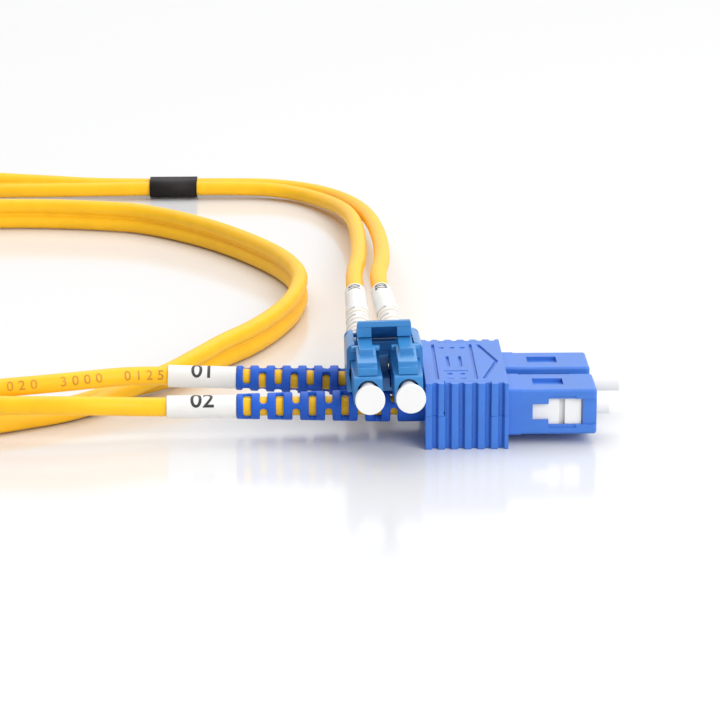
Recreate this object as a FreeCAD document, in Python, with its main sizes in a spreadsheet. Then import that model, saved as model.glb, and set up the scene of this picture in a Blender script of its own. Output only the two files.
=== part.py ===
"""Duplex SC connector on its patch lead: 2 x SC, 2 x LC, zip cord.

Frame: +X along the SC plugs towards their noses, +Y across, +Z up, millimetres.
The origin is the bottom centre of the SC end.  Each plug has a frame of its own on
its axis, with the nose at 0 and x running negative towards the boot.
"""
import FreeCAD, Part
import math
import os
import re
import Sketcher
from FreeCAD import Placement, Rotation, Vector

SIZES = {
    # SC clip, which joins the two plugs
    "clip_length": 13.0, "clip_side": 1.95, "clip_roof": 1.45, "clip_setback": 14.0,
    "clip_gap": 0.1, "plug_pitch": 12.7, "clip_hole_gap": 0.3,
    "rib_count": 6, "rib_pitch": 2.07, "rib_start": 1.16, "rib_groove": 1.08, "rib_floor": 0.5, "rib_depth": 0.8,
    "tongue_front": 2.8, "tongue_rear": 9.95, "tongue_thickness": 1.5, "tongue_gap": 0.08, "snap_dot": 0.45, "snap_height": 0.6,
    "mark_depth": 0.42, "mark_width": 0.45, "bar_front": 4.9, "bar_rear": 11.0, "bar_reach": 10.2,
    "dot_diameter": 0.85, "dot_pitch": 1.67, "dot_row": 8.0, "foot_row": 7.2,
    "stroke_pitch": 2.0, "stroke_reach": 3.0, "cross_at": 5.5, "cross_half": 1.9, "dash_at": 9.8, "dash_length": 0.9,
    "arrow_tip": 0.9, "arrow_base": 3.4, "arrow_half": 9.9, "arrow_stroke": 0.55,
    # SC outer housing
    "housing_length": 24.5, "housing_width": 9.2, "housing_height": 7.6, "step_back": 11.9, "step_drop": 0.1,
    "edge_radius": 0.5, "window_front": 2.2, "window_rear": 7.6, "window_height": 4.2,
    "neck_rear": 10.1, "neck_height": 2.6, "channel_depth": 0.3,
    "lip_front": 3.3, "lip_height": 0.5, "lip_depth": 0.25,
    "slot_centre": 7.47, "slot_length": 4.8, "slot_width": 3.4, "slot_depth": 0.6, "key_width": 1.9, "key_height": 0.8,
    "key_front": 1.0, "key_length": 8.0,
    # SC plug frame
    "slide_gap": 0.1, "frame_front": 0.3, "frame_rear": 17.0, "frame_height": 5.7, "nose_half": 3.05, "ear_half": 3.8,
    "ear_front": 2.4, "ear_groove": 5.0, "groove_length": 0.95, "ear_rear": 10.0, "tail_half": 3.5,
    "nose_bore": 4.7, "seat_front": 5.2, "seat_rear": 6.0, "seat_hole": 2.9, "spring_bore": 4.7,
    # SC ferrule train
    "ferrule_diameter": 2.5, "ferrule_reach": 0.6, "ferrule_rear": 8.6, "ferrule_chamfer": 0.2,
    "flange_diameter": 4.4, "flange_length": 1.6, "flange_tube": 3.0, "flange_rear": 12.0,
    "buffer_diameter": 0.9, "buffer_gap": 0.05, "buffer_room": 1.2,
    "spring_wire": 0.5, "spring_mean": 3.8, "spring_turns": 5, "spring_rear": 12.8,
    "shoulder_diameter": 5.6, "shoulder_length": 1.2, "tail_diameter": 3.4, "tail_length": 5.3, "tail_bore": 2.2,
    "tail_counterbore": 1.6,
    "crimp_grip": 4.3, "crimp_diameter": 4.0, "crimp_neck": 3.6, "crimp_reach": 3.5,
    # SC boot, marker sleeve and dust cap
    "boot_grip": 2.2, "boot_length": 31.8, "boot_taper": 22.6, "boot_root": 5.2, "boot_end": 4.0,
    "boot_gap": 0.2, "boot_bore": 3.1, "boot_step": 0.2,
    "slit_end": 1.71, "slit_pitch": 5.14, "slit_count": 5, "slit_width": 1.15, "slit_bridge": 0.85, "slit_ease": 0.25,
    "near_twist": -15.8, "far_twist": -60.8, "far_lift": 2.0, "far_back": 0.35,
    "marker_length": 11.0, "marker_diameter": 3.6,
    "cap_length": 6.7, "cap_diameter": 3.2, "cap_gap": 0.03, "cap_end": 0.8, "near_cap_reach": 2.7, "far_cap_reach": 5.5,
    # LC end: where it lies, across the near SC boot
    "lc_nose_x": -7.1, "lc_nose_y": -17.0, "lc_seat": 0.05, "lc_yaw": 1.8, "lc_roll": 1.2, "lc_toe": 1.3, "lc_pitch": 6.25,
    # LC body and latch
    "lc_body": 4.44, "lc_body_rear": 15.0, "lc_chamfer": 0.25, "lc_nose_bore": 3.3, "lc_seat_front": 4.6, "lc_seat_rear": 5.2,
    "lc_seat_hole": 1.6, "lc_spring_bore": 2.9,
    "latch_gap": 0.05, "latch_root": 3.05, "latch_width": 2.2, "lug_width": 4.4, "lug_front": 6.4, "lug_length": 0.8,
    "latch_heel": 3.5, "latch_shelf": 4.2, "latch_step": 4.6, "latch_rise": 5.5, "latch_top": 5.9, "latch_end": 10.5,
    # LC ferrule train
    "lc_ferrule_diameter": 1.25, "lc_ferrule_reach": 1.8, "lc_ferrule_rear": 6.9, "lc_ferrule_chamfer": 0.15,
    "lc_flange_diameter": 2.6, "lc_flange_length": 1.2, "lc_flange_tube": 1.8, "lc_flange_rear": 9.0,
    "lc_wire": 0.3, "lc_spring_mean": 2.2, "lc_spring_turns": 7, "lc_spring_rear": 11.5,
    "lc_tail_plug": 3.5, "lc_shoulder": 4.3, "lc_shoulder_length": 1.0, "lc_tail_diameter": 2.9, "lc_tail_length": 4.5,
    "lc_tail_bore": 1.2, "lc_crimp_grip": 3.7, "lc_crimp_diameter": 3.6, "lc_crimp_reach": 1.5,
    # LC boot, marker sleeve and dust cap
    "lc_boot_grip": 4.8, "lc_boot_length": 30.8, "lc_boot_taper": 26.0, "lc_boot_root": 4.6, "lc_boot_end": 3.9, "lc_boot_gap": 0.3,
    "lc_slit_end": 4.5, "lc_slit_pitch": 5.0, "lc_slit_count": 4, "lc_slit_width": 1.1, "lc_slit_bridge": 0.8,
    "lc_marker_length": 12.0, "lc_marker_diameter": 3.7,
    "lc_cap_reach": 5.2, "lc_cap_disc": 4.6, "lc_cap_disc_length": 0.8, "lc_cap_diameter": 2.5, "lc_cap_rear": 3.5, "lc_cap_gap": 0.03,
    "lc_cap_end": 1.0,
    # LC clip and trigger
    "lc_clip_front": 9.5, "lc_clip_rear": 18.5, "lc_clip_width": 12.0, "lc_clip_top": 4.9, "lc_clip_floor": 0.63, "lc_clip_gap": 0.05,
    "lc_clip_round": 1.2, "lc_trough_half": 4.6, "lc_rib_half": 0.75, "lc_rib_height": 1.5, "lc_rib_rear": 12.5, "lc_wall_top": 3.5, "lc_spine_half": 0.85, "lc_hole_gap": 0.2,
    "pivot_back": 17.6, "pivot_height": 4.2, "pivot_pin": 0.8, "pivot_gap": 0.05, "pin_reach": 5.4,
    "trigger_width": 8.2, "trigger_barrel": 1.3, "trigger_front": 9.2, "trigger_top": 8.55, "trigger_bar": 0.85, "trigger_plate": 0.8,
    "foot_front": 9.35, "foot_rear": 10.7, "foot_width": 2.2, "foot_gap": 0.2,
    # cords
    "jacket_diameter": 3.0, "zip_diameter": 4.24, "band_length": 10.0, "band_width": 6.9, "band_height": 3.7,
}
DERIVED = {
    "clip_width": "plug_pitch+housing_width+2*(clip_gap+clip_side)",
    "clip_height": "housing_height+2*(clip_gap+clip_roof)",
    "axis_height": "clip_height/2",
    "tail_rear": "frame_rear+shoulder_length+tail_length",
    "crimp_front": "tail_rear-crimp_grip",
    "crimp_rear": "tail_rear+crimp_reach",
    "boot_front": "crimp_rear-boot_grip",
    "boot_rear": "boot_front+boot_length",
    "boot_straight": "boot_rear-boot_taper",
    "slit_start": "boot_rear-slit_end-(slit_count-0.5)*slit_pitch",
    "lc_tail_rear": "lc_body_rear+lc_shoulder_length+lc_tail_length",
    "lc_crimp_front": "lc_tail_rear-lc_crimp_grip",
    "lc_crimp_rear": "lc_tail_rear+lc_crimp_reach",
    "lc_boot_front": "lc_crimp_rear-lc_boot_grip",
    "lc_boot_rear": "lc_boot_front+lc_boot_length",
    "lc_boot_straight": "lc_boot_rear-lc_boot_taper",
    "lc_slit_start": "lc_boot_rear-lc_slit_end-(lc_slit_count-0.5)*lc_slit_pitch",
    "cavity_half": "ear_half+slide_gap",
    "cavity_height": "frame_height+2*slide_gap",
    "boot_reach": "crimp_rear+(boot_rear-crimp_rear+far_back)*cos(far_lift)+boot_end/2*sin(far_lift)",
    "nose_x": "(boot_reach-far_cap_reach)/2",
    "clip_hole": "boot_root+2*clip_hole_gap",
    "clip_back_wall": "clip_setback+clip_length-housing_length-clip_gap/2",
    "lc_clip_drop": "lc_body/2+lc_clip_gap+lc_clip_floor",
    "lc_height": "axis_height+boot_root/2+lc_clip_drop+lc_seat",
    "lc_hole": "lc_boot_root+2*lc_hole_gap",
    "lc_clip_wall": "lc_body_rear+lc_shoulder_length+lc_clip_gap",
    "lc_cavity_half": "lc_pitch/2+lc_body/2+lc_clip_gap",
}

doc = FreeCAD.newDocument("duplex_lead")
sheet = doc.addObject("Spreadsheet::Sheet", "Sizes")
for row, (alias, size) in enumerate(SIZES.items(), 1):
    sheet.set("A%d" % row, alias)
    sheet.set("B%d" % row, str(size))
    sheet.setAlias("B%d" % row, alias)
doc.recompute()


def bound(text):
    """Turn size names in a formula into references to the sheet."""
    def swap(match):
        word = match.group()
        if word in SIZES:
            return "Sizes." + word
        return "(%s)" % bound(DERIVED[word]) if word in DERIVED else word
    return re.sub(r"[a-z]+(?:_[a-z]+)*", swap, text)


def frame(x="0", y="0", z="0", yaw="0", pitch="0", roll="0"):
    """A place and a turn, as a formula."""
    return ("create(<<placement>>; create(<<vector>>; %s; %s; %s); create(<<rotation>>; %s; %s; %s))"
            % tuple(bound(part) for part in (x, y, z, yaw, pitch, roll)))


SC = {"near": frame("nose_x", "-plug_pitch/2", "axis_height"), "far": frame("nose_x", "plug_pitch/2", "axis_height")}
SC_BOOT = {"near": SC["near"] + " * " + frame(x="-crimp_rear", roll="near_twist"),
           "far": SC["far"] + " * " + frame(x="-crimp_rear", pitch="far_lift") + " * " + frame(x="-far_back", roll="far_twist")}
CLIP = frame("nose_x-clip_setback")
LC_BASE = frame("lc_nose_x", "lc_nose_y", "lc_height", yaw="lc_yaw-90", roll="lc_roll")
LC = {"left": LC_BASE + " * " + frame(y="-lc_pitch/2"), "right": LC_BASE + " * " + frame(y="lc_pitch/2")}
LC_BOOT = {"left": LC["left"] + " * " + frame(x="-lc_crimp_rear", yaw="-lc_toe"),
           "right": LC["right"] + " * " + frame(x="-lc_crimp_rear", yaw="lc_toe")}
pieces = {}


# ---- modelling helpers -------------------------------------------------------------
def piece(name, place):
    body = doc.addObject("PartDesign::Body", name)
    body.Label = name
    body.setExpression("Placement", place)
    pieces[name] = body
    return body


def sketch(body, role, loops=(), rounds=(), at="0"):
    """Closed outlines and circles on one of the body's origin planes; every point is a pair of formulas."""
    flat = body.newObject("Sketcher::SketchObject", "outline")
    flat.AttachmentSupport = [(next(f for f in body.Origin.OriginFeatures if f.Role == role), "")]
    flat.MapMode = "FlatFace"
    flat.setExpression("AttachmentOffset.Base.z", bound(at))

    def pin(geo, corner, start, x, y):
        for kind, value, text in (("DistanceX", start.x, x), ("DistanceY", start.y, y)):
            index = flat.addConstraint(Sketcher.Constraint(kind, -1, 1, geo, corner, value))
            flat.setExpression("Constraints[%d]" % index, bound(text))

    for loop in loops:
        first, count = flat.GeometryCount, len(loop)
        seed = [Vector(20 * math.cos(2 * math.pi * k / count), 20 * math.sin(2 * math.pi * k / count), 0) for k in range(count)]
        for k in range(count):
            flat.addGeometry(Part.LineSegment(seed[k], seed[(k + 1) % count]))
        for k in range(count):
            flat.addConstraint(Sketcher.Constraint("Coincident", first + k, 2, first + (k + 1) % count, 1))
        for k, (x, y) in enumerate(loop):
            pin(first + k, 1, seed[k], x, y)
    for x, y, diameter in rounds:
        geo = flat.addGeometry(Part.Circle(Vector(5, 5, 0), Vector(0, 0, 1), 2))
        pin(geo, 3, Vector(5, 5, 0), x, y)
        index = flat.addConstraint(Sketcher.Constraint("Diameter", geo, 4))
        flat.setExpression("Constraints[%d]" % index, bound(diameter))
    return flat


def pad(body, flat, length, both=False, back=False):
    feature = body.newObject("PartDesign::Pad", "pad")
    feature.Profile = flat
    feature.setExpression("Length", bound(length))
    feature.Midplane, feature.Reversed = both, back
    return feature


def pocket(body, flat, length, both=False, back=False):
    feature = body.newObject("PartDesign::Pocket", "pocket")
    feature.Profile = flat
    feature.setExpression("Length", bound(length))
    feature.Midplane, feature.Reversed = both, back
    return feature


def repeat(body, feature, flat, count, pitch):
    """Copies towards the boot, along the sketch's own horizontal axis."""
    pattern = body.newObject("PartDesign::LinearPattern", "pattern")
    pattern.Originals = [feature]
    pattern.Direction = (flat, ["H_Axis"])
    pattern.Reversed = True
    pattern.Mode = "Extent"
    pattern.setExpression("Length", bound("(%s-1)*%s" % (count, pitch)))
    pattern.setExpression("Occurrences", bound(count))
    body.Tip = pattern
    return pattern


def turn(body, profile, cut=False):
    """Revolve a half section, given as (x, radius), about the plug's axis."""
    flat = sketch(body, "XZ_Plane", [profile])
    feature = body.newObject("PartDesign::Groove" if cut else "PartDesign::Revolution", "turned")
    feature.Profile = flat
    feature.ReferenceAxis = (flat, ["H_Axis"])
    feature.Angle = 360
    return feature


def blend(body, feature, radius, wanted):
    """Round the edges whose middle and direction pass the test."""
    doc.recompute()
    names = []
    for number, edge in enumerate(feature.Shape.Edges, 1):
        ends = [vertex.Point for vertex in edge.Vertexes]
        if len(ends) == 2 and wanted((ends[0] + ends[1]) / 2, (ends[1] - ends[0]).normalize()):
            names.append("Edge%d" % number)
    rounded = body.newObject("PartDesign::Fillet", "rounded")
    rounded.Base = (feature, names)
    rounded.setExpression("Radius", bound(radius))
    return rounded


def box(x_low, x_high, y_low, y_high):
    return [(x_low, y_low), (x_high, y_low), (x_high, y_high), (x_low, y_high)]


def tube(length_from, length_to, outer, bore):
    """Half section of a plain tube."""
    return [(length_from, bore + "/2"), (length_from, outer + "/2"), (length_to, outer + "/2"), (length_to, bore + "/2")]


# ---- SC plugs ------------------------------------------------------------------------
def sc_housing(side):
    """Outer grip: a rounded sleeve with a stepped front, side windows, lips, top slot and key."""
    body = piece("sc_%s_housing" % side, SC[side])
    pad(body, sketch(body, "YZ_Plane", [box("-housing_width/2", "housing_width/2", "-housing_height/2", "housing_height/2")],
                     at="-housing_length"), "housing_length-step_back")
    front = pad(body, sketch(body, "YZ_Plane", [box("-housing_width/2+step_drop", "housing_width/2-step_drop",
                                                    "-housing_height/2+step_drop", "housing_height/2-step_drop")],
                             at="-step_back"), "step_back")
    blend(body, front, "edge_radius", lambda middle, way: abs(way.x) > 0.9 or abs(middle.x) < 0.01)
    pad(body, sketch(body, "XY_Plane", [box("-key_front-key_length", "-key_front", "-key_width/2", "key_width/2")],
                     at="-housing_height/2+step_drop"), "key_height", back=True)
    pocket(body, sketch(body, "YZ_Plane", [box("-cavity_half", "cavity_half", "-cavity_height/2", "cavity_height/2")], at="1"),
           "housing_length+2")
    window = [("-window_front", "-window_height/2"), ("-window_front", "window_height/2"), ("-window_rear", "window_height/2"),
              ("-window_rear", "neck_height/2"), ("-neck_rear", "neck_height/2"), ("-neck_rear", "-neck_height/2"),
              ("-window_rear", "-neck_height/2"), ("-window_rear", "-window_height/2")]
    pocket(body, sketch(body, "XZ_Plane", [window]), "2*housing_width", both=True)
    side_face = "housing_width/2-step_drop"
    for start, end, depth, height in (("-window_front", "1", "channel_depth", "window_height"),
                                      ("-window_rear", "-lip_front", "lip_depth", "window_height+2*lip_height")):
        pocket(body, sketch(body, "XY_Plane", [box(start, end, side_face + "-" + depth, side_face + "+1"),
                                               box(start, end, "-(" + side_face + ")-1", "-(" + side_face + ")+" + depth)]),
               height, both=True)
    pocket(body, sketch(body, "XY_Plane", [box("-slot_centre-slot_length/2", "-slot_centre+slot_length/2",
                                               "-slot_width/2", "slot_width/2")], at="housing_height/2-step_drop"), "slot_depth")


def sc_frame(side):
    """White plug frame: eared sides, ferrule bore, seat wall and spring bore."""
    body = piece("sc_%s_frame" % side, SC[side])
    half = [("-frame_front", "nose_half"), ("-ear_front", "nose_half"), ("-ear_front", "ear_half"), ("-ear_groove", "ear_half"),
            ("-ear_groove", "nose_half"), ("-ear_groove-groove_length", "nose_half"), ("-ear_groove-groove_length", "ear_half"),
            ("-ear_rear", "ear_half"), ("-ear_rear-1", "tail_half"), ("-frame_rear", "tail_half")]
    pad(body, sketch(body, "XY_Plane", [half + [(x, "-" + y) for x, y in reversed(half)]]), "frame_height", both=True)
    turn(body, [("1", "0"), ("-frame_rear-1", "0"), ("-frame_rear-1", "spring_bore/2"), ("-seat_rear", "spring_bore/2"),
                ("-seat_rear", "seat_hole/2"), ("-seat_front", "seat_hole/2"), ("-seat_front", "nose_bore/2"), ("1", "nose_bore/2")],
         cut=True)


def sc_ferrule_train(side):
    """Ferrule in its flange, spring, backbone, crimp sleeve and the buffered fibre."""
    turn(piece("sc_%s_ferrule" % side, SC[side]),
         [("-ferrule_rear", "0"), ("-ferrule_rear", "ferrule_diameter/2"), ("ferrule_reach-ferrule_chamfer", "ferrule_diameter/2"),
          ("ferrule_reach", "ferrule_diameter/2-ferrule_chamfer"), ("ferrule_reach", "0")])
    turn(piece("sc_%s_flange" % side, SC[side]),
         [("-seat_rear", "ferrule_diameter/2"), ("-seat_rear", "flange_diameter/2"), ("-seat_rear-flange_length", "flange_diameter/2"),
          ("-seat_rear-flange_length", "flange_tube/2"), ("-flange_rear", "flange_tube/2"),
          ("-flange_rear", "buffer_diameter/2+buffer_gap"), ("-ferrule_rear", "buffer_diameter/2+buffer_gap"),
          ("-ferrule_rear", "ferrule_diameter/2")])
    spring("sc_%s_spring" % side, SC[side], "seat_rear+flange_length", "spring_rear", "spring_wire", "spring_mean", "spring_turns")
    turn(piece("sc_%s_backbone" % side, SC[side]),
         [("-spring_rear", "flange_tube/2+slide_gap"), ("-spring_rear", "spring_bore/2"), ("-frame_rear", "spring_bore/2"),
          ("-frame_rear", "shoulder_diameter/2"), ("-frame_rear-shoulder_length", "shoulder_diameter/2"),
          ("-frame_rear-shoulder_length", "tail_diameter/2"), ("-tail_rear", "tail_diameter/2"), ("-tail_rear", "tail_bore/2"),
          ("-spring_rear-tail_counterbore", "tail_bore/2"), ("-spring_rear-tail_counterbore", "flange_tube/2+slide_gap")])
    turn(piece("sc_%s_crimp" % side, SC[side]),
         [("-crimp_front", "tail_diameter/2"), ("-crimp_front", "crimp_diameter/2"), ("-tail_rear", "crimp_diameter/2"),
          ("-tail_rear", "crimp_neck/2"), ("-crimp_rear", "crimp_neck/2"), ("-crimp_rear", "jacket_diameter/2"),
          ("-tail_rear", "jacket_diameter/2"), ("-tail_rear", "tail_diameter/2")])
    turn(piece("sc_%s_buffer" % side, SC[side]),
         [("-tail_rear", "0"), ("-tail_rear", "buffer_diameter/2"), ("-ferrule_rear-buffer_room", "buffer_diameter/2"),
          ("-ferrule_rear-buffer_room", "0")])


def spring(name, place, front, rear, wire, mean, turns):
    """Round-wire coil between two faces."""
    body = piece(name, place)
    flat = sketch(body, "XZ_Plane", rounds=[("-(%s)-%s/2" % (front, wire), mean + "/2", wire)])
    coil = body.newObject("PartDesign::AdditiveHelix", "coil")
    coil.Profile = flat
    coil.ReferenceAxis = (flat, ["H_Axis"])
    coil.Mode = "height-turns-angle"
    coil.setExpression("Height", bound("%s-(%s)-%s" % (rear, front, wire)))
    coil.setExpression("Turns", bound(turns))
    coil.Reversed = True


def boot(name, place, kind):
    """Tapered strain relief on the crimp, slit from alternate sides so that it bends."""
    body = piece(name, place)
    sizes = {"pivot": kind + "crimp_rear", "front": kind + "boot_front", "rear": kind + "boot_rear", "straight": kind + "boot_straight",
             "root": kind + "boot_root", "end": kind + "boot_end", "gap": kind + "boot_gap", "start": kind + "slit_start",
             "width": kind + "slit_width", "bridge": kind + "slit_bridge", "pitch": kind + "slit_pitch", "ease": "slit_ease",
             "grip": "lc_crimp_diameter" if kind else "crimp_neck"}
    def s(text):
        return re.sub(r"[a-z_]+", lambda m: sizes.get(m.group(), m.group()), text)
    turn(body, [(s(x), s(r)) for x, r in
                [("pivot-front", "(grip+gap)/2"), ("pivot-front", "root/2"), ("pivot-straight", "root/2"),
                 ("pivot-rear", "end/2"), ("pivot-rear", "boot_bore/2"), ("-boot_step", "boot_bore/2"), ("-boot_step", "(grip+gap)/2")]])
    for role, shift in (("XZ_Plane", "0"), ("XY_Plane", "pitch/2")):
        low, high = s("pivot-start-%s-width/2" % shift), s("pivot-start-%s+width/2" % shift)
        eased = [(low, s("bridge/2+ease")), (low + s("+ease"), s("bridge/2")), (high + s("-ease"), s("bridge/2")),
                 (high, s("bridge/2+ease")), (high, s("root")), (low, s("root"))]
        flat = sketch(body, role, [eased, [(x, "-(" + y + ")") for x, y in reversed(eased)]])
        repeat(body, pocket(body, flat, s("2*root"), both=True), flat, kind + "slit_count", kind + "slit_pitch")


def marker(name, place, kind):
    """Printed sleeve on the cord behind the boot."""
    body = piece(name, place)
    start = "%scrimp_rear-%sboot_rear" % (kind, kind)
    turn(body, tube(start, "%s-%smarker_length" % (start, kind), kind + "marker_diameter", "jacket_diameter"))


def sc_cap(side):
    """Dust cap: a blind tube on the ferrule."""
    reach = side + "_cap_reach"
    turn(piece("sc_%s_cap" % side, SC[side]),
         [(reach + "-cap_length", "ferrule_diameter/2+cap_gap"), (reach + "-cap_length", "cap_diameter/2"),
          (reach + "-cap_end/2", "cap_diameter/2"), (reach, "cap_diameter/2-cap_end/2"), (reach, "0"), (reach + "-cap_end", "0"),
          (reach + "-cap_end", "ferrule_diameter/2+cap_gap")])


for side in ("near", "far"):
    sc_housing(side)
    sc_frame(side)
    sc_ferrule_train(side)
    boot("sc_%s_boot" % side, SC_BOOT[side], "")
    marker("sc_%s_marker" % side, SC_BOOT[side], "")
    sc_cap(side)


# ---- SC clip: lower half with side tongues, upper half between them --------------------
def clip_half(name, low, high, tongue):
    """One half, cut for both plugs, their boots and the grip grooves; 'tongue' adds or cuts the side tongues."""
    body = piece(name, CLIP)
    pad(body, sketch(body, "XY_Plane", [box("-clip_length", "0", "-clip_width/2", "clip_width/2")], at=low), "%s-(%s)" % (high, low))
    gap = "" if tongue is pad else "+tongue_gap"
    arms = [[(x, sign + "(" + y + ")") for x, y in box("-tongue_rear-(0%s)" % gap, "-tongue_front+(0%s)" % gap,
                                                       "clip_width/2-tongue_thickness-(0%s)" % gap,
                                                       "clip_width/2" if tongue is pad else "clip_width/2+1")]
            for sign in ("", "-")]
    if tongue is pad:
        pad(body, sketch(body, "XY_Plane", arms, at="clip_height/2"), "clip_height/2")
    else:
        pocket(body, sketch(body, "XY_Plane", arms, at="clip_height+1"), "clip_height/2+2")
    cavity = [box("%splug_pitch/2-housing_width/2-clip_gap" % sign, "%splug_pitch/2+housing_width/2+clip_gap" % sign,
                  "axis_height-housing_height/2-clip_gap", "axis_height+housing_height/2+clip_gap") for sign in ("", "-")]
    pocket(body, sketch(body, "YZ_Plane", cavity, at="1"), "1+clip_length-clip_back_wall")
    holes = [("%splug_pitch/2" % sign, "axis_height", "clip_hole") for sign in ("", "-")]
    pocket(body, sketch(body, "YZ_Plane", rounds=holes, at="1"), "2+clip_length")
    start = "-rib_start"
    notch = [(start + "-rib_groove/2", "clip_width/2+rib_depth"), (start + "-rib_groove/2", "clip_width/2"),
             (start + "-rib_floor/2", "clip_width/2-rib_depth"), (start + "+rib_floor/2", "clip_width/2-rib_depth"),
             (start + "+rib_groove/2", "clip_width/2"), (start + "+rib_groove/2", "clip_width/2+rib_depth")]
    flat = sketch(body, "XY_Plane", [notch, [(x, "-(" + y + ")") for x, y in notch]], at="clip_height/2")
    repeat(body, pocket(body, flat, "3*clip_height", both=True), flat, "rib_count", "rib_pitch")
    return body


clip_half("sc_clip_lower", "0", "clip_height/2", pad)
upper = clip_half("sc_clip_upper", "clip_height/2", "clip_height", pocket)
middle = "-(bar_front+bar_rear)/2"
bars = [box("-%s-mark_width/2" % at, "-%s+mark_width/2" % at, "-bar_reach", "bar_reach") for at in ("bar_front", "bar_rear")]
for side in ("+", "-"):
    stroke = middle + side + "stroke_pitch/2"
    bars.append(box(stroke + "-mark_width/2", stroke + "+mark_width/2", "-stroke_reach", "stroke_reach"))
    bars.append(box(stroke + "-dash_length/2", stroke + "+dash_length/2", "-dash_at-mark_width/2", "-dash_at+mark_width/2"))
bars.append(box(middle + "-cross_half", middle + "+cross_half", "-cross_at-mark_width/2", "-cross_at+mark_width/2"))
arrow = [("-arrow_tip", "0"), ("-arrow_base", "arrow_half"), ("-arrow_base-arrow_stroke", "arrow_half"),
         ("-arrow_tip-arrow_stroke", "0"), ("-arrow_base-arrow_stroke", "-arrow_half"), ("-arrow_base", "-arrow_half")]
pocket(upper, sketch(upper, "XY_Plane", bars + [arrow], at="clip_height"), "mark_depth")
dots = [(middle + shift, "dot_row", "dot_diameter") for shift in ("+dot_pitch", "", "-dot_pitch")]
dots += [(middle + shift, "-foot_row", "dot_diameter") for shift in ("+stroke_pitch/2", "-stroke_pitch/2")]
pocket(upper, sketch(upper, "XY_Plane", rounds=dots, at="clip_height"), "mark_depth")
snaps = [("-tongue_rear", "clip_height/2+snap_height", "snap_dot")]
pocket(upper, sketch(upper, "XZ_Plane", rounds=snaps), "2*clip_width", both=True)


# ---- LC plugs ------------------------------------------------------------------------
def lc_body(side):
    """Square plug body with the ferrule bore, seat wall and spring bore."""
    body = piece("lc_%s_body" % side, LC[side])
    half = [("0", "lc_body/2-lc_chamfer"), ("-lc_chamfer", "lc_body/2"), ("-lc_body_rear", "lc_body/2")]
    pad(body, sketch(body, "XZ_Plane", [half + [(x, "-(" + y + ")") for x, y in reversed(half)]]), "lc_body", both=True)
    turn(body, [("1", "0"), ("-lc_body_rear-1", "0"), ("-lc_body_rear-1", "lc_tail_plug/2"), ("-lc_spring_rear", "lc_tail_plug/2"),
                ("-lc_spring_rear", "lc_spring_bore/2"), ("-lc_seat_rear", "lc_spring_bore/2"), ("-lc_seat_rear", "lc_seat_hole/2"),
                ("-lc_seat_front", "lc_seat_hole/2"), ("-lc_seat_front", "lc_nose_bore/2"), ("1", "lc_nose_bore/2")], cut=True)


def lc_latch(side):
    """Latch lever: root at the nose, steps up to the pressing end, with a locking lug on each side."""
    body = piece("lc_%s_latch" % side, LC[side])
    foot = "lc_body/2+latch_gap"
    root = [("-0.5", foot), ("-0.5", "latch_heel"), ("-1.2", "latch_heel"), ("-1.2", "latch_shelf"), ("-4.2", "latch_step"),
            ("-4.2", "latch_step-0.9"), ("-1.9", "latch_heel-0.6"), ("-1.1", foot)]
    lever = [("-3.4", "latch_step-1.1"), ("-3.4", "latch_step-0.1"), ("-4.2", "latch_step"), ("-4.2", "latch_rise"),
             ("-9", "latch_top-0.12"), ("-latch_end", "latch_top"), ("-latch_end", "latch_top-0.8"), ("-9", "latch_top-0.95"),
             ("-5", "latch_step-0.5")]
    rails = [("-4", "latch_step-0.6"), ("-4", "latch_step-0.03"), ("-lug_front", "latch_rise-0.25"),
             ("-lug_front", "latch_rise-0.9")]
    lug = [("-lug_front", "latch_rise-0.9"), ("-lug_front", "latch_rise-0.2"), ("-lug_front-lug_length", "latch_rise-0.1"),
           ("-lug_front-lug_length", "latch_rise-0.9")]
    for profile, width in ((root, "latch_root"), (lever, "latch_width"), (rails, "latch_root"), (lug, "lug_width")):
        pad(body, sketch(body, "XZ_Plane", [profile]), width, both=True)


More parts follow.
